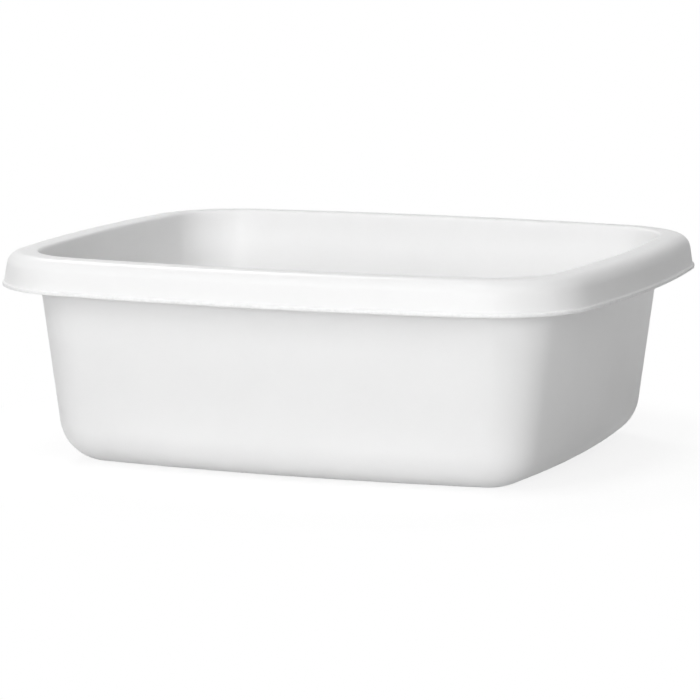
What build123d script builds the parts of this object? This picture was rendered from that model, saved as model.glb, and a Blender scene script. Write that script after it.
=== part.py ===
from build123d import *
import os
from collections import namedtuple
from math import atan2, cos, degrees, hypot, radians, sin, sqrt, tan

# Washing up bowl, one polypropylene moulding: a flat floor, drafted walls that bow outwards
# between round corners, and a rim that rolls over into a hanging skirt and is open underneath.
# Millimetres, +Z up, the long sides along X. The origin is the middle of the base, on the
# surface that the bowl stands on.

# Overall size, over the lip of the rim
overall_length = 385.0
overall_width = 335.5
overall_height = 128.5

# Plan: the bow of the sides, and the corners where the flat floor ends
long_side_radius = 1010.0
short_side_radius = 880.0
floor_corner_radius = 5.0

# Shell
wall_thickness = 2.0
wall_draft_angle = 7.5
base_radius = 28.0
inner_edge_chamfer = 1.3

# Rim, from the wall's outer line to the lip, and the bead along the lip
rim_overhang = 20.2
rim_depth = 20.5
roll_radius = 9.0
skirt_lean_angle = 9.0
lip_bead = 0.7
lip_bead_height = 2.0

# Webs that stiffen the rim's corners from below and keep nested bowls from jamming
web_thickness = 1.4
web_reach = 7.5
web_drop = 12.0
corner_web_shares = (0.25, 0.75)

# Floor: the ring that the bowl stands on, round a raised panel with the moulding gate's mark
foot_ring_width = 9.0
foot_height = 1.5
panel_slope_angle = 45.0
panel_corner_radius = 16.0
gate_mark_radius = 3.0
gate_mark_height = 0.6

# Places that follow from the sizes
right_angle = 90.0
half_turn = 180.0
half_length = overall_length / 2 - rim_overhang
half_width = overall_width / 2 - rim_overhang
lip_level = overall_height - rim_depth
under_rim = overall_height - wall_thickness


def wall_offset(height, depth=0):
    """how far a line in the wall, this deep under its outer face, lies from the wall's top outline"""
    draft = radians(wall_draft_angle)
    return -tan(draft) * (overall_height - height) - depth / cos(draft)


def skirt_offset(height, depth=0):
    """the same for a line in the rim's skirt"""
    lean = radians(skirt_lean_angle)
    return rim_overhang - lip_bead - tan(lean) * (height - lip_level) - depth / cos(lean)


# The base fillet takes this much of the plan on the way down, so the corners are that much
# rounder at the top of the wall than round the flat floor
floor_inset = base_radius * tan(radians(right_angle - wall_draft_angle) / 2) - wall_offset(0)
top_corner_radius = floor_corner_radius + floor_inset
floor_lap = floor_corner_radius / 2

PlanArc = namedtuple("PlanArc", "x y radius start_angle arc_angle")


def plan_arcs(corner_radius):
    """the outline at the top of the wall: eight tangent arcs, anticlockwise from the +X side"""
    long_setback = long_side_radius - half_width
    short_setback = short_side_radius - half_length
    # The corner's centre is as far from each side's centre as a circle that touches both allows
    long_reach = long_side_radius - corner_radius
    short_reach = short_side_radius - corner_radius
    between = hypot(long_setback, short_setback)
    along = (long_reach**2 - short_reach**2 + between**2) / (2 * between)
    across = sqrt(long_reach**2 - along**2)
    corner_x = (across * long_setback - along * short_setback) / between
    corner_y = (across * short_setback + along * long_setback) / between - long_setback
    side_end = degrees(atan2(corner_y, corner_x + short_setback))
    corner_end = degrees(atan2(corner_y + long_setback, corner_x))
    corner_angle = corner_end - side_end
    first_half = [
        PlanArc(-short_setback, 0, short_side_radius, -side_end, 2 * side_end),
        PlanArc(corner_x, corner_y, corner_radius, side_end, corner_angle),
        PlanArc(0, -long_setback, long_side_radius, corner_end, half_turn - 2 * corner_end),
        PlanArc(-corner_x, corner_y, corner_radius, half_turn - corner_end, corner_angle),
    ]
    second_half = [
        PlanArc(-arc.x, -arc.y, arc.radius, arc.start_angle + half_turn, arc.arc_angle) for arc in first_half
    ]
    return first_half + second_half


def outline(offset, corner_radius, height=0):
    """the level area inside the outline at this offset, with corners of its own"""
    arcs = [
        CenterArc((arc.x, arc.y, height), arc.radius + offset, arc.start_angle, arc.arc_angle)
        for arc in plan_arcs(corner_radius - offset)
    ]
    return make_face(Curve() + arcs)


def plane_across(arc, angle):
    """the upright plane across the outline: x runs outwards from the wall's top outline, y up"""
    outward = Vector(1, 0, 0).rotate(Axis.Z, angle)
    origin = Vector(arc.x, arc.y, 0) + outward * arc.radius
    return Plane(origin=origin, x_dir=outward, z_dir=outward.cross(Vector(0, 0, 1)))


def rounded_profile(corners_and_radii):
    """a flat area from its corners in order, each with the radius that rounds it"""
    corners = [corner for corner, radius in corners_and_radii]
    radii = [radius for corner, radius in corners_and_radii]
    return make_face(FilletPolyline(*corners, radius=radii, close=True))


def shell_profile():
    """the moulding cut across: floor edge, base fillet, wall, rolled rim, skirt and lip bead"""
    floor_edge = -floor_inset - floor_lap
    bead_top = lip_level + lip_bead_height
    bead_foot = bead_top + lip_bead
    chamfer_foot = overall_height - inner_edge_chamfer
    return rounded_profile([
        ((floor_edge, 0), 0),
        ((wall_offset(0), 0), base_radius),
        ((wall_offset(under_rim), under_rim), 0),
        ((skirt_offset(under_rim, wall_thickness), under_rim), roll_radius - wall_thickness),
        ((skirt_offset(lip_level, wall_thickness), lip_level), 0),
        ((rim_overhang, lip_level), 0),
        ((rim_overhang, bead_top), 0),
        ((skirt_offset(bead_foot), bead_foot), 0),
        ((skirt_offset(overall_height), overall_height), roll_radius),
        ((wall_offset(overall_height, wall_thickness) + inner_edge_chamfer, overall_height), 0),
        ((wall_offset(chamfer_foot, wall_thickness), chamfer_foot), 0),
        ((wall_offset(wall_thickness, wall_thickness), wall_thickness), base_radius - wall_thickness),
        ((floor_edge, wall_thickness), 0),
    ])


def shell():
    """the profile carried round the outline, one turned length for each of its arcs"""
    profile = shell_profile()
    lengths = []
    for arc in plan_arcs(top_corner_radius):
        axis = Axis((arc.x, arc.y, 0), (0, 0, 1))
        lengths.append(revolve(plane_across(arc, arc.start_angle) * profile, axis, arc.arc_angle))
    return lengths


def floor():
    """the flat floor, stepped up inside the foot ring at an even thickness"""
    panel_offset = -floor_inset - foot_ring_width
    bend = wall_thickness * tan(radians(panel_slope_angle) / 2)
    plate = extrude(outline(-floor_inset - floor_lap, floor_corner_radius - floor_lap), wall_thickness)
    recess = extrude(outline(panel_offset, panel_corner_radius), foot_height, taper=panel_slope_angle)
    raised = extrude(
        outline(panel_offset + bend, panel_corner_radius + bend, wall_thickness),
        foot_height,
        taper=panel_slope_angle,
    )
    mark_middle = foot_height - gate_mark_height / 2
    gate_mark = Pos(0, 0, mark_middle) * Cylinder(gate_mark_radius, gate_mark_height)
    return plate + raised - recess + gate_mark


def web_profile():
    """a three-cornered web between the wall and the flat of the rim, let into both by half a wall"""
    let_in = wall_thickness / 2
    foot = under_rim - web_drop
    return make_face(Polyline(
        (wall_offset(foot, let_in), foot),
        (wall_offset(foot), foot),
        (web_reach, under_rim),
        (web_reach, under_rim + let_in),
        (wall_offset(under_rim, let_in), under_rim + let_in),
        close=True,
    ))


def webs():
    """webs in the corners; under the sides the rim stays free for the fingers"""
    profile = web_profile()
    standing = []
    for corner in plan_arcs(top_corner_radius)[1::2]:
        for share in corner_web_shares:
            section = plane_across(corner, corner.start_angle + share * corner.arc_angle) * profile
            standing.append(extrude(section, web_thickness / 2, both=True))
    return standing


def bowl():
    return Part() + shell() + [floor()] + webs()


os.makedirs("parts", exist_ok=True)
export_step(bowl(), "parts/bowl.step")
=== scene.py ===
from math import cos, pi, radians, sin

import bpy
from bpy.props import FloatProperty, FloatVectorProperty, IntProperty, PointerProperty
from bpy.types import Operator, Panel, PropertyGroup
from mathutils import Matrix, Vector


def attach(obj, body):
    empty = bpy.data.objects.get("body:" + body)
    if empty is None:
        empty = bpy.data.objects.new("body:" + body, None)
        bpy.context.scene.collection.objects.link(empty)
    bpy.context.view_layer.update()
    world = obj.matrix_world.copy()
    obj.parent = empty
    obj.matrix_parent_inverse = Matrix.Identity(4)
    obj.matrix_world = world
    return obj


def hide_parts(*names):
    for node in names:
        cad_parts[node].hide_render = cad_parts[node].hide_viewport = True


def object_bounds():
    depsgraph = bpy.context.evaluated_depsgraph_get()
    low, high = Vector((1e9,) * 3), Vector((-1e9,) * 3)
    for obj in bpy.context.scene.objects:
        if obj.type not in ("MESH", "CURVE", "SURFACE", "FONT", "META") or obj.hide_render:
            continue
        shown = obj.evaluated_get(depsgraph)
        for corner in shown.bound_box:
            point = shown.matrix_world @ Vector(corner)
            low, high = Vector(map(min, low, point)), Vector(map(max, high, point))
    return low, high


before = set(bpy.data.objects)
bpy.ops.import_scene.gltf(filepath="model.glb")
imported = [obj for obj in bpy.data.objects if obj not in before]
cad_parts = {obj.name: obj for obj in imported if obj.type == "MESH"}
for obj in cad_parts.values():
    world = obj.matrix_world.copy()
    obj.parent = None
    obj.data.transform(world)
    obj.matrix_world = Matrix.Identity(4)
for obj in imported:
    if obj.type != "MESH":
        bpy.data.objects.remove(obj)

# Washing up bowl, one polypropylene moulding: a flat floor, drafted walls that bow outwards
# between round corners, and a rim that rolls over into a hanging skirt with a beaded lip.

bl_info = {
    "name": "Washing Up Bowl",
    "version": (1, 0, 0),
    "blender": (4, 5, 0),
    "location": "View3D > Sidebar > Washing Up Bowl",
    "description": "Builds a moulded washing up bowl with a rolled rim, and a studio to show it in",
    "category": "Add Mesh",
}

CAD_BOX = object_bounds()
CAD_SIZE = [high - low for low, high in zip(*CAD_BOX)]

# Attribute of a swept mesh: the point of the outline that each of its points was carried to
OUTLINE_PLACE = "outline_place"

# Lengths into which each rounding of the moulding's section is divided
BASE_STEPS = 26
ROLL_STEPS = 20
UNDER_ROLL_STEPS = 12
INNER_EDGE_STEPS = 8
CHANNEL_STEPS = 5
LIP_STEPS = 4
BEAD_STEPS = 3
PANEL_STEPS = 3
SHARP = 1
GATE_MARK_SIDES = 48

# Metres within which points are welded, and within which an edge lies at a level
WELD_DISTANCE = 0.00001
SAME_LEVEL = 0.0001

# Edges that turn by more than this stay sharp in the shading
SHARP_EDGE_ANGLE = radians(35)

# Two webs to each corner
WEB_COUNT = 8

# How strongly polypropylene bends light
REFRACTION = 1.49

# Scuffs: the noise that they start from and how steeply they grow, the rim's top against the lip,
# and what a full scuff does to the colour, the roughness and the grain
SCUFF_START = 0.45
SCUFF_STEEPNESS = 5
RIM_TOP_WEAR = 0.4
SCUFF_SHADE = 0.1
SCUFF_ROUGHNESS = 0.25
SCUFF_GRAINS_DEEP = 2

# Streaks and smudges against the slow waves, in size, and the draw marks' part in the roughness
STREAK_SIZE = 1.6
SMUDGE_SIZE = 0.7
DRAW_MARK_ROUGHNESS = 0.5

# Studio: half the floor's width in metres, and the camera's sensor in millimetres and far limit in metres
FLOOR_REACH = 12
SENSOR_WIDTH = 36
CAMERA_FAR_LIMIT = 100


class BowlShape(PropertyGroup):
    """Sizes of the moulding"""

    length: FloatProperty(
        name="Length", description="Over the rim's lip, along the long sides",
        default=CAD_SIZE[0], min=0.05, unit="LENGTH")
    width: FloatProperty(
        name="Width", description="Over the rim's lip, along the short sides",
        default=CAD_SIZE[1], min=0.05, unit="LENGTH")
    height: FloatProperty(
        name="Height", description="From the foot ring to the top of the rim",
        default=CAD_SIZE[2], min=0.02, unit="LENGTH")
    long_side_radius: FloatProperty(
        name="Long Side Radius", description="Radius of the long sides' bow, seen from above",
        default=1.010, min=0.05, unit="LENGTH")
    short_side_radius: FloatProperty(
        name="Short Side Radius", description="Radius of the short sides' bow, seen from above",
        default=0.880, min=0.05, unit="LENGTH")
    floor_corner_radius: FloatProperty(
        name="Floor Corner Radius", description="Radius of the corners where the flat floor ends",
        default=0.005, min=0.001, unit="LENGTH")
    wall_thickness: FloatProperty(
        name="Wall Thickness", description="Thickness of the moulding",
        default=0.002, min=0.0005, unit="LENGTH")
    wall_draft: FloatProperty(
        name="Wall Draft", description="How far the walls lean out from upright",
        default=radians(7.5), min=0, subtype="ANGLE")
    base_radius: FloatProperty(
        name="Base Radius", description="Outer radius where the walls turn into the floor",
        default=0.028, min=0.003, unit="LENGTH")
    inner_edge_radius: FloatProperty(
        name="Inner Edge Radius",
        description="Rounding where the inside of the wall meets the rim's flat top",
        default=0.002, min=0.0002, unit="LENGTH")
    rim_overhang: FloatProperty(
        name="Rim Overhang", description="From the top of the wall out to the lip",
        default=0.0202, min=0.002, unit="LENGTH")
    rim_depth: FloatProperty(
        name="Rim Depth", description="From the top of the rim down to the lip's lower edge",
        default=0.0205, min=0.002, unit="LENGTH")
    roll_radius: FloatProperty(
        name="Roll Radius", description="Outer radius where the rim rolls over into its skirt",
        default=0.009, min=0.001, unit="LENGTH")
    skirt_lean: FloatProperty(
        name="Skirt Lean", description="How far the skirt leans out from upright",
        default=radians(9), min=0, subtype="ANGLE")
    lip_bead: FloatProperty(
        name="Lip Bead", description="How far the bead stands out from the skirt",
        default=0.0007, min=0, unit="LENGTH")
    lip_bead_height: FloatProperty(
        name="Lip Bead Height", description="Height of the bead's upright face",
        default=0.002, min=0.0002, unit="LENGTH")
    edge_radius: FloatProperty(
        name="Edge Radius", description="Rounding of the lip's and the bead's edges",
        default=0.0004, min=0.00005, unit="LENGTH")
    channel_radius: FloatProperty(
        name="Channel Radius", description="Rounding where the wall meets the rim from below",
        default=0.0015, min=0.0001, unit="LENGTH")
    foot_ring_width: FloatProperty(
        name="Foot Ring Width", description="Width of the flat ring that the bowl stands on",
        default=0.009, min=0.001, unit="LENGTH")
    foot_height: FloatProperty(
        name="Foot Height", description="How far the floor's panel is raised inside the foot ring",
        default=0.0015, min=0.0002, unit="LENGTH")
    panel_slope: FloatProperty(
        name="Panel Slope", description="Slope of the step round the raised panel",
        default=radians(45), min=radians(5), max=radians(85), subtype="ANGLE")
    panel_corner_radius: FloatProperty(
        name="Panel Corner Radius", description="Radius of the raised panel's corners",
        default=0.016, min=0.002, unit="LENGTH")
    panel_edge_radius: FloatProperty(
        name="Panel Edge Radius", description="Rounding of the step round the raised panel",
        default=0.0006, min=0.00005, unit="LENGTH")
    gate_mark_radius: FloatProperty(
        name="Gate Mark Radius", description="Radius of the moulding gate's mark under the floor",
        default=0.003, min=0.0005, unit="LENGTH")
    gate_mark_height: FloatProperty(
        name="Gate Mark Height", description="How far the gate's mark stands proud",
        default=0.0006, min=0.0001, unit="LENGTH")
    corner_steps: IntProperty(
        name="Corner Steps", description="Lengths into which each corner is divided",
        default=36, min=4)
    long_side_steps: IntProperty(
        name="Long Side Steps", description="Lengths into which half a long side is divided",
        default=22, min=2)
    short_side_steps: IntProperty(
        name="Short Side Steps", description="Lengths into which half a short side is divided",
        default=17, min=2)
    section_step: FloatProperty(
        name="Section Step", description="Longest straight length in the section's mesh",
        default=0.004, min=0.0005, unit="LENGTH")


class RimWebs(PropertyGroup):
    """Sizes of the webs under the rim's corners"""

    thickness: FloatProperty(
        name="Web Thickness", description="Thickness of each web",
        default=0.0014, min=0.0002, unit="LENGTH")
    reach: FloatProperty(
        name="Web Reach", description="How far a web reaches out from the wall under the rim",
        default=0.0075, min=0.001, unit="LENGTH")
    drop: FloatProperty(
        name="Web Drop", description="How far a web reaches down the wall",
        default=0.012, min=0.001, unit="LENGTH")
    first_share: FloatProperty(
        name="First Web Share", description="Where each corner's first web stands along its arc",
        default=0.25, min=0, max=1, subtype="FACTOR")
    second_share: FloatProperty(
        name="Second Web Share", description="Where each corner's second web stands along its arc",
        default=0.75, min=0, max=1, subtype="FACTOR")


class PlasticFinish(PropertyGroup):
    """Look of the moulded polypropylene"""

    colour: FloatVectorProperty(
        name="Colour", description="Colour of the polypropylene",
        default=(0.95, 0.95, 0.95), min=0, max=1, size=3, subtype="COLOR")
    shade: FloatProperty(
        name="Shade Variation",
        description="How much darker than the rest the darkest streaks in the plastic are",
        default=0.03, min=0, max=1, subtype="FACTOR")
    roughness: FloatProperty(
        name="Roughness", description="Roughness of the moulded skin",
        default=0.35, min=0, max=1, subtype="FACTOR")
    specular: FloatProperty(
        name="Specular Level", description="Strength of the skin's reflections; 0.5 is a polished surface",
        default=0.12, min=0, max=1, subtype="FACTOR")
    gloss: FloatProperty(
        name="Gloss", description="Share of the skin that took the mould's polish and mirrors sharply",
        default=0.02, min=0, max=1, subtype="FACTOR")
    gloss_roughness: FloatProperty(
        name="Gloss Roughness", description="Roughness of the polished share",
        default=0.15, min=0, max=1, subtype="FACTOR")
    light_depth: FloatProperty(
        name="Light Depth", description="How far light travels inside the plastic between two turns",
        default=0.003, min=0.0001, unit="LENGTH", precision=4)
    handling: FloatProperty(
        name="Handling Marks", description="How much the roughness wanders over the skin",
        default=0.12, min=0, max=1, subtype="FACTOR")
    draw_mark_size: FloatProperty(
        name="Draw Mark Size", description="Width of the faint marks that the mould leaves down the walls",
        default=0.003, min=0.0002, unit="LENGTH")
    draw_mark_depth: FloatProperty(
        name="Draw Mark Depth", description="Depth of the marks down the walls",
        default=0.000004, min=0, unit="LENGTH", precision=6)
    wear: FloatProperty(
        name="Wear", description="How scuffed the foot ring, the lip and the top of the rim are",
        default=0.8, min=0, max=1, subtype="FACTOR")
    scuff_size: FloatProperty(
        name="Scuff Size", description="Size of the scuffs",
        default=0.003, min=0.0005, unit="LENGTH")
    grain_size: FloatProperty(
        name="Grain Size", description="Size of the mould's fine grain",
        default=0.0005, min=0.0001, unit="LENGTH")
    grain_depth: FloatProperty(
        name="Grain Depth", description="Depth of the mould's fine grain",
        default=0.0000025, min=0, unit="LENGTH", precision=6)
    wave_size: FloatProperty(
        name="Wave Size", description="Size of the slow waves that a thin wall cools with",
        default=0.045, min=0.005, unit="LENGTH")
    wave_depth: FloatProperty(
        name="Wave Depth", description="Depth of the slow waves",
        default=0.00012, min=0, unit="LENGTH", precision=6)


class Studio(PropertyGroup):
    """Floor, lamps and camera"""

    floor_colour: FloatVectorProperty(
        name="Floor Colour", description="Colour of the floor that the bowl stands on",
        default=(0.75, 0.75, 0.75), min=0, max=1, size=3, subtype="COLOR")
    shadow: FloatProperty(
        name="Shadow Strength", description="How much of the bowl's shadow shows on the white floor",
        default=0.3, min=0, max=0.9, subtype="FACTOR")
    shadow_reach: FloatProperty(
        name="Shadow Reach",
        description="Distance from the middle at which the floor has turned to plain white",
        default=0.28, min=0.1, unit="LENGTH")
    lamp_level: FloatProperty(
        name="Lamp Level", description="Strength of all lamps together",
        default=1, min=0, subtype="FACTOR")
    ambient: FloatProperty(
        name="Ambient", description="Strength of the even light from all round",
        default=0, min=0, subtype="FACTOR")
    azimuth: FloatProperty(
        name="Camera Azimuth", description="Turn of the camera round the bowl from its long front side",
        default=radians(21.572), subtype="ANGLE")
    elevation: FloatProperty(
        name="Camera Elevation", description="Angle of the camera above the horizon",
        default=radians(8.390), subtype="ANGLE")
    distance: FloatProperty(
        name="Camera Distance", description="From the camera to the point that it looks at",
        default=2.2938, min=0.2, unit="LENGTH")
    target: FloatVectorProperty(
        name="Camera Target", description="Point that the camera looks at",
        default=(-0.002769, -0.001095, 0.0608), size=3, subtype="TRANSLATION")
    lens: FloatProperty(
        name="Camera Lens", description="Focal length in millimetres on a sensor 36 mm wide",
        default=190.65, min=10)


class BowlSettings(PropertyGroup):
    """All settings of the washing up bowl"""

    shape: PointerProperty(type=BowlShape)
    webs: PointerProperty(type=RimWebs)
    plastic: PointerProperty(type=PlasticFinish)
    studio: PointerProperty(type=Studio)


class Wire:
    """A node's output. Sums and products that are written on it add Math nodes to its tree."""

    def __init__(self, socket):
        self.socket = socket

    def math(self, operation, *values):
        return Graph(self.socket.id_data).node("ShaderNodeMath", {"operation": operation}, values)

    def output(self, name):
        """another output of the same node"""
        return Wire(find_socket(self.socket.node.outputs, name))

    def __add__(self, other):
        return self.math("ADD", self, other)

    def __radd__(self, other):
        return self.math("ADD", other, self)

    def __sub__(self, other):
        return self.math("SUBTRACT", self, other)

    def __rsub__(self, other):
        return self.math("SUBTRACT", other, self)

    def __mul__(self, other):
        return self.math("MULTIPLY", self, other)

    def __rmul__(self, other):
        return self.math("MULTIPLY", other, self)

    def __truediv__(self, other):
        return self.math("DIVIDE", self, other)

    def __rtruediv__(self, other):
        return self.math("DIVIDE", other, self)

    def __pow__(self, other):
        return self.math("POWER", self, other)

    def __neg__(self):
        return self.math("SUBTRACT", 0, self)

    def __gt__(self, other):
        return self.math("GREATER_THAN", self, other)

    def __lt__(self, other):
        return self.math("LESS_THAN", self, other)

    def sine(self):
        return self.math("SINE", self)

    def cosine(self):
        return self.math("COSINE", self)

    def tangent(self):
        return self.math("TANGENT", self)

    def root(self):
        return self.math("SQRT", self)

    def sign(self):
        return self.math("SIGN", self)

    def whole(self):
        return self.math("FLOOR", self)

    def angle_over(self, other):
        """the angle whose tangent is this value over the other"""
        return self.math("ARCTAN2", self, other)

    def bounce(self, top):
        """counts up to the top and back down to 0, over and over"""
        return self.math("PINGPONG", self, top)

    def limited(self):
        """kept between 0 and 1"""
        return self.math("MINIMUM", self.math("MAXIMUM", self, 0), 1)


def find_socket(sockets, name):
    """a socket by its place, its identifier or its name"""
    if isinstance(name, int):
        return sockets[name]
    by_identifier = [socket for socket in sockets if socket.identifier == name]
    return (by_identifier or [socket for socket in sockets if socket.name == name])[0]


class Graph:
    """A node tree that is being written."""

    def __init__(self, tree):
        self.tree = tree

    def node(self, kind, settings=None, sockets=(), output=0):
        """adds a node: its settings first, then the values or links of its sockets"""
        node = self.tree.nodes.new(kind)
        for name, value in (settings or {}).items():
            if name == "items":
                node.index_switch_items.clear()
                for _ in range(value):
                    node.index_switch_items.new()
            else:
                setattr(node, name, value)
        pairs = sockets.items() if isinstance(sockets, dict) else enumerate(sockets)
        for name, value in pairs:
            target = find_socket(node.inputs, name)
            for one in value if isinstance(value, list) else [value]:
                if isinstance(one, Wire):
                    self.tree.links.new(one.socket, target)
                else:
                    target.default_value = one
        return Wire(find_socket(node.outputs, output)) if node.outputs else None

    def point(self, x, y, z=0):
        return self.node("ShaderNodeCombineXYZ", None, (x, y, z))

    def pick(self, data_type, values):
        """a field that takes each point's value from a list, by the point's number"""
        number = self.node("GeometryNodeInputIndex")
        settings = {"data_type": data_type, "items": len(values)}
        sockets = {"Index": number, **{str(place): value for place, value in enumerate(values)}}
        return self.node("GeometryNodeIndexSwitch", settings, sockets)

    def tidy(self):
        """sets the nodes out in columns, from the output back to the inputs"""
        columns = {}

        def push(node, column):
            if columns.get(node, -1) < column:
                columns[node] = column
                for link in self.tree.links:
                    if link.to_node == node:
                        push(link.from_node, column + 1)

        for node in self.tree.nodes:
            if not any(link.from_node == node for link in self.tree.links):
                push(node, 0)
        rows = {}
        for node, column in columns.items():
            rows[column] = rows.get(column, 0) + 1
            node.location = (-220 * column, -170 * rows[column])


def geometry_tree(name, *groups):
    """a Geometry Nodes tree with one input for each setting in the groups, and the settings as wires"""
    tree = bpy.data.node_groups.new(name, "GeometryNodeTree")
    tree.is_modifier = True
    tree.interface.new_socket("Mesh", in_out="OUTPUT", socket_type="NodeSocketGeometry")
    for group in groups:
        for setting in settings_of(group):
            kind = "NodeSocketInt" if setting.type == "INT" else "NodeSocketFloat"
            socket = tree.interface.new_socket(setting.name, in_out="INPUT", socket_type=kind)
            if kind == "NodeSocketFloat":
                socket.subtype = {"LENGTH": "DISTANCE", "ROTATION": "ANGLE"}.get(setting.unit, "NONE")
            socket.default_value = getattr(group, setting.identifier)
    tree.interface.new_socket("Material", in_out="INPUT", socket_type="NodeSocketMaterial")
    entry = tree.nodes.new("NodeGroupInput")
    return tree, Graph(tree), {socket.name: Wire(socket) for socket in entry.outputs if socket.name}


def settings_of(group):
    """the settings that a group of its own class holds"""
    return [group.bl_rna.properties[name] for name in type(group).__annotations__]


def mesh_object(name, tree, groups, material):
    """runs a tree with the groups' settings and keeps its mesh as an object without a modifier"""
    piece = bpy.data.objects.new(name, bpy.data.meshes.new(name))
    bpy.context.scene.collection.objects.link(piece)
    modifier = piece.modifiers.new("Shape", "NODES")
    modifier.node_group = tree
    values = {
        setting.name: getattr(group, setting.identifier)
        for group in groups for setting in settings_of(group)}
    values["Material"] = material
    for item in tree.interface.items_tree:
        if item.item_type == "SOCKET" and item.in_out == "INPUT":
            modifier[item.identifier] = values[item.name]
    depsgraph = bpy.context.evaluated_depsgraph_get()
    mesh = bpy.data.meshes.new_from_object(piece.evaluated_get(depsgraph), depsgraph=depsgraph)
    piece.modifiers.remove(modifier)
    piece.data = mesh
    mesh.name = name
    return piece


class Moulding:
    """Places on the moulding that follow from the sizes in a tree's inputs."""

    def __init__(self, graph, size):
        self.graph = graph
        self.size = size
        self.half_length = size["Length"] / 2 - size["Rim Overhang"]
        self.half_width = size["Width"] / 2 - size["Rim Overhang"]
        self.lip_level = size["Height"] - size["Rim Depth"]
        self.under_rim = size["Height"] - size["Wall Thickness"]
        quarter = (pi / 2 - size["Wall Draft"]) / 2
        self.floor_inset = size["Base Radius"] * quarter.tangent() - self.wall(0)
        self.top_corner_radius = size["Floor Corner Radius"] + self.floor_inset

    def wall(self, height, depth=0):
        """how far a line in the wall, this deep under its outer face, lies from the wall's top outline"""
        draft = self.size["Wall Draft"]
        return draft.tangent() * (height - self.size["Height"]) - depth / draft.cosine()

    def skirt(self, height, depth=0):
        """the same for a line in the rim's skirt"""
        lean = self.size["Skirt Lean"]
        foot = self.size["Rim Overhang"] - self.size["Lip Bead"]
        return foot - lean.tangent() * (height - self.lip_level) - depth / lean.cosine()

    def corner(self, corner_radius):
        """the corner arc's centre, and the angles from X at which it starts and ends"""
        long_setback = self.size["Long Side Radius"] - self.half_width
        short_setback = self.size["Short Side Radius"] - self.half_length
        long_reach = self.size["Long Side Radius"] - corner_radius
        short_reach = self.size["Short Side Radius"] - corner_radius
        between = (long_setback * long_setback + short_setback * short_setback).root()
        along = (long_reach * long_reach - short_reach * short_reach + between * between) / (2 * between)
        across = (long_reach * long_reach - along * along).root()
        x = (across * long_setback - along * short_setback) / between
        y = (across * short_setback + along * long_setback) / between - long_setback
        start = y.angle_over(x + short_setback)
        end = (y + long_setback).angle_over(x)
        return x, y, start, end, short_setback, long_setback

    def outline(self, offset, corner_radius):
        """a closed curve of tangent arcs at this offset; the corner radius is the one at offset 0"""
        graph, size = self.graph, self.size
        x, y, start, end, short_setback, long_setback = self.corner(corner_radius)
        short, corner, long = size["Short Side Steps"], size["Corner Steps"], size["Long Side Steps"]
        quarter = short + corner + long
        number = graph.node("GeometryNodeInputIndex")
        step = number.bounce(quarter)
        past_short = step > short + 0.5
        past_corner = step > short + corner + 0.5
        in_short, in_corner = 1 - past_short, past_short - past_corner
        angle = (
            start * (step / short).limited()
            + (end - start) * ((step - short) / corner).limited()
            + (pi / 2 - end) * ((step - short - corner) / long).limited()
        )
        radius = offset + (
            size["Short Side Radius"] * in_short + corner_radius * in_corner
            + size["Long Side Radius"] * past_corner
        )
        right = x * in_corner - short_setback * in_short + radius * angle.cosine()
        back = y * in_corner - long_setback * past_corner + radius * angle.sine()
        turn = number * (pi / 2) / quarter
        place = graph.point(turn.cosine().sign() * right, turn.sine().sign() * back)
        ring = graph.node("GeometryNodeCurvePrimitiveCircle", None, {"Resolution": 4 * quarter})
        placed = graph.node("GeometryNodeSetPosition", None, {"Geometry": ring, "Position": place})
        marked = graph.node("GeometryNodeStoreNamedAttribute", {"data_type": "FLOAT_VECTOR"}, {
            "Geometry": placed, "Name": OUTLINE_PLACE, "Value": place})
        return graph.node("GeometryNodeSetCurveNormal", {"mode": "Z_UP"}, (marked,))

    def section(self, corners):
        """an open curve through corners of offset, height, radius and steps, for a sweep round an outline"""
        graph = self.graph
        places = [graph.point(offset, -height) for offset, height, radius, steps in corners]
        line = graph.node("GeometryNodeCurvePrimitiveCircle", None, {"Resolution": len(corners)})
        line = graph.node("GeometryNodeSetSplineCyclic", None, {"Geometry": line, "Cyclic": False})
        line = graph.node(
            "GeometryNodeSetPosition", None, {"Geometry": line, "Position": graph.pick("VECTOR", places)})
        line = graph.node("GeometryNodeFilletCurve", {"mode": "POLY"}, {
            "Curve": line,
            "Count": graph.pick("INT", [steps for offset, height, radius, steps in corners]),
            "Radius": graph.pick("FLOAT", [radius for offset, height, radius, steps in corners]),
        })
        here = graph.node("GeometryNodeInputPosition")
        number = graph.node("GeometryNodeInputIndex")
        following = graph.node("GeometryNodeFieldAtIndex", {"data_type": "FLOAT_VECTOR"}, (here, number + 1))
        run = graph.node(
            "ShaderNodeVectorMath", {"operation": "DISTANCE"}, {0: here, 1: following}, "Value")
        cuts = (run / self.size["Section Step"]).whole()
        return graph.node("GeometryNodeSubdivideCurve", None, (line, cuts))

    def sweep(self, path, section, caps=False):
        """the section carried along the path, with its faces turned outwards"""
        mesh = self.graph.node(
            "GeometryNodeCurveToMesh", None, {"Curve": path, "Profile Curve": section, "Fill Caps": caps})
        return self.graph.node("GeometryNodeFlipFaces", None, (mesh,))

    def floor_patch(self, mesh, level, downwards):
        """a flat patch between a mesh's open edges at this level"""
        graph = self.graph
        height = graph.node("ShaderNodeSeparateXYZ", None, (graph.node("GeometryNodeInputPosition"),), "Z")
        away = height.math("ABSOLUTE", height - level)
        faces = graph.node("GeometryNodeInputMeshEdgeNeighbors")
        edges = graph.node(
            "GeometryNodeMeshToCurve", None, {"Mesh": mesh, "Selection": (away < SAME_LEVEL) * (faces < 1.5)})
        patch = graph.node("GeometryNodeFillCurve", {"mode": "TRIANGLES"}, {"Curve": edges})
        if downwards:
            patch = graph.node("GeometryNodeFlipFaces", None, (patch,))
        return graph.node(
            "GeometryNodeTransform", None, {"Geometry": patch, "Translation": graph.point(0, 0, level)})


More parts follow.
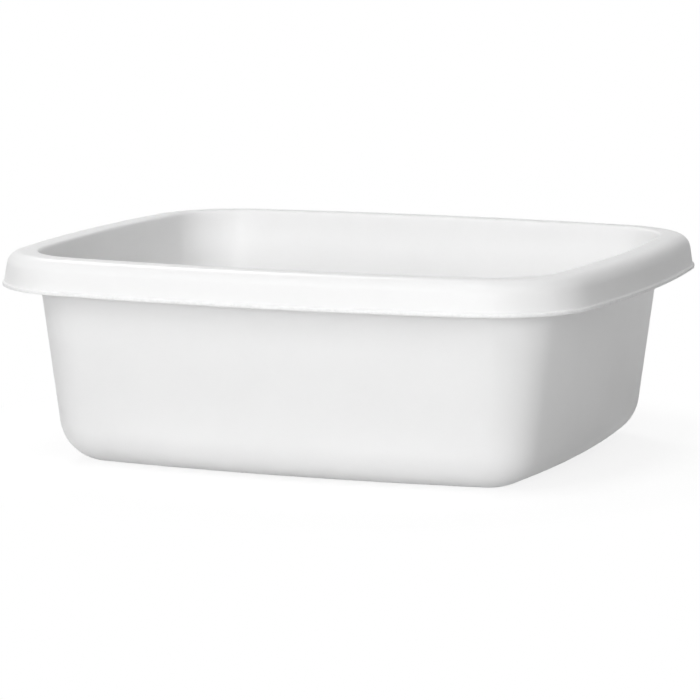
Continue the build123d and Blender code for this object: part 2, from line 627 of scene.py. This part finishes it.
def finished(graph, meshes, material):
    """joins and welds the meshes, shades them smooth but for sharp edges, and gives them their material"""
    mesh = graph.node("GeometryNodeJoinGeometry", None, {"Geometry": meshes})
    mesh = graph.node("GeometryNodeMergeByDistance", None, {"Geometry": mesh, "Distance": WELD_DISTANCE})
    mesh = graph.node("GeometryNodeSetShadeSmooth", None, {"Geometry": mesh})
    turn = graph.node("GeometryNodeInputMeshEdgeAngle")
    mesh = graph.node("GeometryNodeSetShadeSmooth", {"domain": "EDGE"}, {
        "Geometry": mesh, "Selection": turn > SHARP_EDGE_ANGLE, "Shade Smooth": False})
    mesh = graph.node("GeometryNodeRealizeInstances", None, {"Geometry": mesh})
    mesh = graph.node("GeometryNodeSetMaterial", None, {"Geometry": mesh, "Material": material})
    graph.node("NodeGroupOutput", None, {"Mesh": mesh})
    graph.tidy()


class WASHING_UP_OT_shell(Operator):
    """Build the bowl's floor, walls and rolled rim"""

    bl_idname = "washing_up.shell"
    bl_label = "Build Bowl Shell"

    def execute(self, context):
        settings = context.scene.washing_up
        tree, graph, size = geometry_tree("Bowl shell", settings.shape)
        moulding = Moulding(graph, size)
        top, thick = size["Height"], size["Wall Thickness"]
        under_rim, lip, edge = moulding.under_rim, moulding.lip_level, size["Edge Radius"]
        bead_top = lip + size["Lip Bead Height"]
        bead_foot = bead_top + size["Lip Bead"]
        floor_edge = -moulding.floor_inset - size["Floor Corner Radius"] / 2
        section = moulding.section([
            (floor_edge, 0, 0, SHARP),
            (moulding.wall(0), 0, size["Base Radius"], BASE_STEPS),
            (moulding.wall(under_rim), under_rim, size["Channel Radius"], CHANNEL_STEPS),
            (moulding.skirt(under_rim, thick), under_rim, size["Roll Radius"] - thick, UNDER_ROLL_STEPS),
            (moulding.skirt(lip, thick), lip, edge, LIP_STEPS),
            (size["Rim Overhang"], lip, edge, LIP_STEPS),
            (size["Rim Overhang"], bead_top, edge, BEAD_STEPS),
            (moulding.skirt(bead_foot), bead_foot, edge, BEAD_STEPS),
            (moulding.skirt(top), top, size["Roll Radius"], ROLL_STEPS),
            (moulding.wall(top, thick), top, size["Inner Edge Radius"], INNER_EDGE_STEPS),
            (moulding.wall(thick, thick), thick, size["Base Radius"] - thick, BASE_STEPS),
            (floor_edge, thick, 0, SHARP),
        ])
        shell = moulding.sweep(moulding.outline(0, moulding.top_corner_radius), section)

        # The floor steps up inside the foot ring at an even thickness
        panel_offset = -moulding.floor_inset - size["Foot Ring Width"]
        panel_edge = moulding.outline(panel_offset, size["Panel Corner Radius"] - panel_offset)
        rise, soft = size["Foot Height"], size["Panel Edge Radius"]
        run = rise / size["Panel Slope"].tangent()
        bend = thick * (size["Panel Slope"] / 2).tangent()
        recess = moulding.sweep(panel_edge, moulding.section([
            (-2 * run, rise, 0, SHARP), (-run, rise, soft, PANEL_STEPS),
            (0, 0, soft, PANEL_STEPS), (run, 0, 0, SHARP)]))
        raised = moulding.sweep(panel_edge, moulding.section([
            (bend + run, thick, 0, SHARP), (bend, thick, soft, PANEL_STEPS),
            (bend - run, thick + rise, soft, PANEL_STEPS), (bend - 2 * run, thick + rise, 0, SHARP)]))
        walls = graph.node("GeometryNodeJoinGeometry", None, {"Geometry": [shell, recess, raised]})
        patches = [
            moulding.floor_patch(walls, 0, True), moulding.floor_patch(walls, rise, True),
            moulding.floor_patch(walls, thick, False), moulding.floor_patch(walls, thick + rise, False)]
        mark = graph.node("GeometryNodeMeshCylinder", None, {
            "Vertices": GATE_MARK_SIDES, "Radius": size["Gate Mark Radius"],
            "Depth": size["Gate Mark Height"] + thick / 2})
        mark_middle = rise + (thick / 2 - size["Gate Mark Height"]) / 2
        mark = graph.node("GeometryNodeTransform", None, {
            "Geometry": mark, "Translation": graph.point(0, 0, mark_middle)})
        finished(graph, [walls, *patches, mark], size["Material"])
        piece = mesh_object("bowl_shell", tree, (settings.shape,), polypropylene(settings))
        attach(piece, "root")
        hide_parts("bowl")
        return {"FINISHED"}


class WASHING_UP_OT_webs(Operator):
    """Build the webs that stiffen the rim's corners from below"""

    bl_idname = "washing_up.webs"
    bl_label = "Build Rim Webs"

    def execute(self, context):
        settings = context.scene.washing_up
        tree, graph, size = geometry_tree("Rim webs", settings.shape, settings.webs)
        moulding = Moulding(graph, size)
        let_in = size["Wall Thickness"] / 2
        under_rim = moulding.under_rim
        foot = under_rim - size["Web Drop"]
        corners = [
            (moulding.wall(foot, let_in), foot), (moulding.wall(foot), foot), (size["Web Reach"], under_rim),
            (size["Web Reach"], under_rim + let_in), (moulding.wall(under_rim, let_in), under_rim + let_in)]
        section = graph.node("GeometryNodeCurvePrimitiveCircle", None, {"Resolution": len(corners)})
        section = graph.node("GeometryNodeSetPosition", None, {
            "Geometry": section, "Position": graph.pick("VECTOR", [graph.point(x, -z) for x, z in corners])})
        half = size["Web Thickness"] / 2
        across = graph.node("GeometryNodeCurvePrimitiveLine", None, {
            "Start": graph.point(0, -half), "End": graph.point(0, half)})
        across = graph.node("GeometryNodeSetCurveNormal", {"mode": "Z_UP"}, (across,))
        web = moulding.sweep(across, section, caps=True)

        # Two webs to each corner, counted round from the corner between +X and +Y
        x, y, start, end, *_ = moulding.corner(moulding.top_corner_radius)
        number = graph.node("GeometryNodeInputIndex")
        second = number.math("MODULO", number, 2)
        share = size["First Web Share"] + (size["Second Web Share"] - size["First Web Share"]) * second
        angle = start + (end - start) * share
        turn = (number / 2).whole() * (pi / 2) + pi / 4
        right, back = turn.cosine().sign(), turn.sine().sign()
        place = graph.point(
            right * (x + moulding.top_corner_radius * angle.cosine()),
            back * (y + moulding.top_corner_radius * angle.sine()))
        points = graph.node("GeometryNodeMeshLine", None, {"Count": WEB_COUNT})
        points = graph.node("GeometryNodeSetPosition", None, {"Geometry": points, "Position": place})
        facing = graph.node("FunctionNodeAxisAngleToRotation", None, {
            "Axis": (0, 0, 1), "Angle": (back * angle.sine()).angle_over(right * angle.cosine())})
        webs = graph.node(
            "GeometryNodeInstanceOnPoints", None, {"Points": points, "Instance": web, "Rotation": facing})
        webs = graph.node("GeometryNodeRealizeInstances", None, {"Geometry": webs})
        finished(graph, [webs], size["Material"])
        piece = mesh_object("rim_webs", tree, (settings.shape, settings.webs), polypropylene(settings))
        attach(piece, "root")
        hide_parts("bowl")
        return {"FINISHED"}


def empty_material(name):
    """a material with no nodes in it, and its tree"""
    material = bpy.data.materials.new(name)
    material.use_nodes = True
    material.node_tree.nodes.clear()
    return material, Graph(material.node_tree)


def noise(graph, place, size, detail, roughness=0.5):
    """noise from 0 to 1 with features of this size, in metres"""
    return graph.node("ShaderNodeTexNoise", None, {
        "Vector": place, "Scale": 1 / size, "Detail": detail, "Roughness": roughness})


def worn_edges(graph, place, shape, wear, size):
    """scuffs from 0 to 1 on the foot ring, on the lip's bead and thinly on the top of the rim"""
    height = graph.node("ShaderNodeSeparateXYZ", None, (place,), "Z")
    level = graph.node("ShaderNodeVectorMath", {"operation": "MULTIPLY"}, (place, (1, 1, 0)))
    outline = graph.node("ShaderNodeAttribute", {"attribute_name": OUTLINE_PLACE}, output="Vector")
    beyond = graph.node("ShaderNodeVectorMath", {"operation": "DISTANCE"}, (level, outline), "Value")
    foot = (1 - height / (shape.foot_height / 2)).limited()
    above_bead = height - (shape.height - shape.rim_depth + shape.lip_bead_height / 2)
    near_bead = 1 - above_bead.math("ABSOLUTE", above_bead) / shape.lip_bead_height
    out_at_lip = (beyond - (shape.rim_overhang - shape.lip_bead)) / shape.edge_radius
    lip = near_bead.limited() * out_at_lip.limited()
    top = ((height - shape.height) / shape.edge_radius + 1).limited()
    scuffs = noise(graph, place, size, 6, 0.7)
    grown = ((scuffs - SCUFF_START) * SCUFF_STEEPNESS).limited()
    return (grown * (foot + lip + RIM_TOP_WEAR * top) * wear).limited()


def polypropylene(settings):
    """white polypropylene with a moulded satin gloss"""
    name = "White polypropylene"
    if name in bpy.data.materials:
        return bpy.data.materials[name]
    plastic = settings.plastic
    material, graph = empty_material(name)
    place = graph.node("ShaderNodeTexCoord", output="Object")
    height = graph.node("ShaderNodeSeparateXYZ", None, (place,), "Z")
    streaks = noise(graph, place, plastic.wave_size * STREAK_SIZE, 3, 0.6)
    worn = worn_edges(graph, place, settings.shape, plastic.wear, plastic.scuff_size)
    colour = graph.node("ShaderNodeMix", {"data_type": "RGBA", "blend_type": "MULTIPLY"}, {
        "Factor_Float": streaks * plastic.shade * 2 + worn * SCUFF_SHADE,
        "A_Color": (*plastic.colour, 1), "B_Color": (0, 0, 0, 1),
    }, "Result_Color")
    smudges = noise(graph, place, plastic.wave_size * SMUDGE_SIZE, 4, 0.65)

    # Marks that run down the walls, as the mould lets go of them, and fade out towards the floor
    outline = graph.node("ShaderNodeAttribute", {"attribute_name": OUTLINE_PLACE}, output="Vector")
    up_the_wall = ((height - settings.shape.base_radius / 2) / settings.shape.base_radius).limited()
    drawn = (noise(graph, outline, plastic.draw_mark_size, 3, 0.6) - 0.5) * up_the_wall
    roughness = (
        plastic.roughness + (smudges - 0.5 + drawn * DRAW_MARK_ROUGHNESS) * plastic.handling
        + worn * SCUFF_ROUGHNESS
    )
    grain = noise(graph, place, plastic.grain_size, 2)
    waves = noise(graph, place, plastic.wave_size, 1)
    skin = (
        grain * plastic.grain_depth + waves * plastic.wave_depth
        + drawn * plastic.draw_mark_depth - worn * plastic.grain_depth * SCUFF_GRAINS_DEEP
    )
    bump = graph.node("ShaderNodeBump", None, {"Strength": 1, "Distance": 1, "Height": skin})
    surface = graph.node("ShaderNodeBsdfPrincipled", None, {
        "Base Color": colour, "Roughness": roughness, "IOR": REFRACTION,
        "Specular IOR Level": plastic.specular, "Coat Weight": plastic.gloss,
        "Coat Roughness": plastic.gloss_roughness, "Subsurface Weight": 1, "Subsurface Radius": (1, 1, 1),
        "Subsurface Scale": plastic.light_depth, "Normal": bump})
    graph.node("ShaderNodeOutputMaterial", None, {"Surface": surface})
    graph.tidy()
    return material


def seen_directly(graph):
    """1 for what the camera sees, itself or in a gloss, and 0 for light that falls on a surface"""
    ray = graph.node("ShaderNodeLightPath", output="Is Camera Ray")
    return (ray + ray.output("Is Glossy Ray") + ray.output("Is Transmission Ray")).limited()


def studio_floor(studio):
    """a pale matt floor that is seen as white, with the bowl's shadow close round the bowl"""
    material, graph = empty_material("Studio floor")
    place = graph.node("ShaderNodeTexCoord", output="Object")
    away = graph.node("ShaderNodeVectorMath", {"operation": "LENGTH"}, (place,), "Value")
    share = studio.shadow * (1 - (away / studio.shadow_reach).limited() ** 2)
    # Where no shadow falls, the lit share and the glowing share add up to white
    glow = graph.node("ShaderNodeEmission", None, {
        "Color": (1, 1, 1, 1), "Strength": (1 - share * light_on_floor(studio)) / (1 - share)})
    lit = graph.node("ShaderNodeBsdfDiffuse", None, {"Color": (1, 1, 1, 1)})
    white = graph.node("ShaderNodeMixShader", None, {0: share, 1: glow, 2: lit})
    matt = graph.node("ShaderNodeBsdfDiffuse", None, {"Color": (*studio.floor_colour, 1)})
    surface = graph.node("ShaderNodeMixShader", None, {0: seen_directly(graph), 1: matt, 2: white})
    graph.node("ShaderNodeOutputMaterial", None, {"Surface": surface})
    graph.tidy()
    return material


# Name, azimuth and elevation seen from the bowl, distance, width and height in metres, and power in watts
LAMPS = (
    ("Low front", 8, 9, 5, 2.6, 0.8, 70.4),
    ("Key", 20, 20, 5, 1.5, 1.5, 50.4),
    ("High front", -20, 35, 5, 1.5, 1.5, 41.5),
    ("Top", 0, 70, 5, 1.5, 1.5, 78.2),
    ("Right", 80, 8, 5, 1.5, 1.5, 8.2),
    ("Back left", -140, 45, 5, 1.5, 1.5, 76.4),
    ("Left", -80, 20, 5, 1.5, 1.5, 8.5),
)


def light_on_floor(studio):
    """brightness that the lamps give a white floor round the bowl"""
    return studio.lamp_level * sum(
        power * sin(radians(elevation)) / (pi * distance) ** 2
        for name, azimuth, elevation, distance, width, height, power in LAMPS)


def around(azimuth, elevation, distance, centre=(0, 0, 0)):
    """a point round the centre; azimuth 0 is in front of the long side at -Y, and 90 is at +X"""
    level = distance * cos(elevation)
    return Vector(centre) + Vector((level * sin(azimuth), -level * cos(azimuth), distance * sin(elevation)))


def aimed(name, data, place, target):
    """an object that looks at the target from its place"""
    thing = bpy.data.objects.new(name, data)
    bpy.context.scene.collection.objects.link(thing)
    thing.location = place
    thing.rotation_euler = (Vector(target) - place).to_track_quat("-Z", "Y").to_euler()
    return thing


class WASHING_UP_OT_studio(Operator):
    """Build the floor, the lamps, the even light from all round and the camera"""

    bl_idname = "washing_up.studio"
    bl_label = "Build Studio"

    def execute(self, context):
        studio = context.scene.washing_up.studio
        mesh = bpy.data.meshes.new("studio_floor")
        reach = FLOOR_REACH
        corners = [(-reach, -reach, 0), (reach, -reach, 0), (reach, reach, 0), (-reach, reach, 0)]
        mesh.from_pydata(corners, [], [(0, 1, 2, 3)])
        mesh.materials.append(studio_floor(studio))
        floor = bpy.data.objects.new("studio_floor", mesh)
        context.scene.collection.objects.link(floor)

        middle = (0, 0, CAD_SIZE[2] / 2)
        for name, azimuth, elevation, distance, width, height, power in LAMPS:
            lamp = bpy.data.lights.new(name, "AREA")
            lamp.shape = "RECTANGLE"
            lamp.size, lamp.size_y = width, height
            lamp.energy = power * studio.lamp_level
            aimed(name, lamp, around(radians(azimuth), radians(elevation), distance, middle), middle)

        world = bpy.data.worlds.new("Studio")
        world.use_nodes = True
        world.node_tree.nodes.clear()
        graph = Graph(world.node_tree)
        light = graph.node("ShaderNodeBackground", None, {
            "Color": (1, 1, 1, 1), "Strength": studio.ambient + (1 - studio.ambient) * seen_directly(graph)})
        graph.node("ShaderNodeOutputWorld", None, {"Surface": light})
        graph.tidy()
        context.scene.world = world

        lens = bpy.data.cameras.new("Camera")
        lens.lens = studio.lens
        lens.sensor_width = SENSOR_WIDTH
        lens.clip_end = CAMERA_FAR_LIMIT
        place = around(studio.azimuth, studio.elevation, studio.distance, studio.target)
        context.scene.camera = aimed("Camera", lens, place, studio.target)
        context.scene.view_settings.view_transform = "Standard"
        return {"FINISHED"}


class WASHING_UP_PT_bowl(Panel):
    """Settings of the washing up bowl and its studio"""

    bl_idname = "WASHING_UP_PT_bowl"
    bl_label = "Washing Up Bowl"
    bl_space_type = "VIEW_3D"
    bl_region_type = "UI"
    bl_category = "Washing Up Bowl"

    def draw(self, context):
        settings = context.scene.washing_up
        sections = (
            ("Shape", settings.shape, WASHING_UP_OT_shell),
            ("Rim webs", settings.webs, WASHING_UP_OT_webs),
            ("Plastic", settings.plastic, None),
            ("Studio", settings.studio, WASHING_UP_OT_studio),
        )
        for title, group, operator in sections:
            box = self.layout.box()
            box.label(text=title)
            for setting in settings_of(group):
                box.prop(group, setting.identifier)
            if operator:
                box.operator(operator.bl_idname)


CLASSES = (
    BowlShape,
    RimWebs,
    PlasticFinish,
    Studio,
    BowlSettings,
    WASHING_UP_OT_shell,
    WASHING_UP_OT_webs,
    WASHING_UP_OT_studio,
    WASHING_UP_PT_bowl,
)


def register():
    for one in CLASSES:
        bpy.utils.register_class(one)
    bpy.types.Scene.washing_up = PointerProperty(type=BowlSettings)


def unregister():
    del bpy.types.Scene.washing_up
    for one in reversed(CLASSES):
        bpy.utils.unregister_class(one)


def main():
    register()
    bpy.ops.washing_up.shell()
    bpy.ops.washing_up.webs()
    bpy.ops.washing_up.studio()


if __name__ == "__main__":
    main()
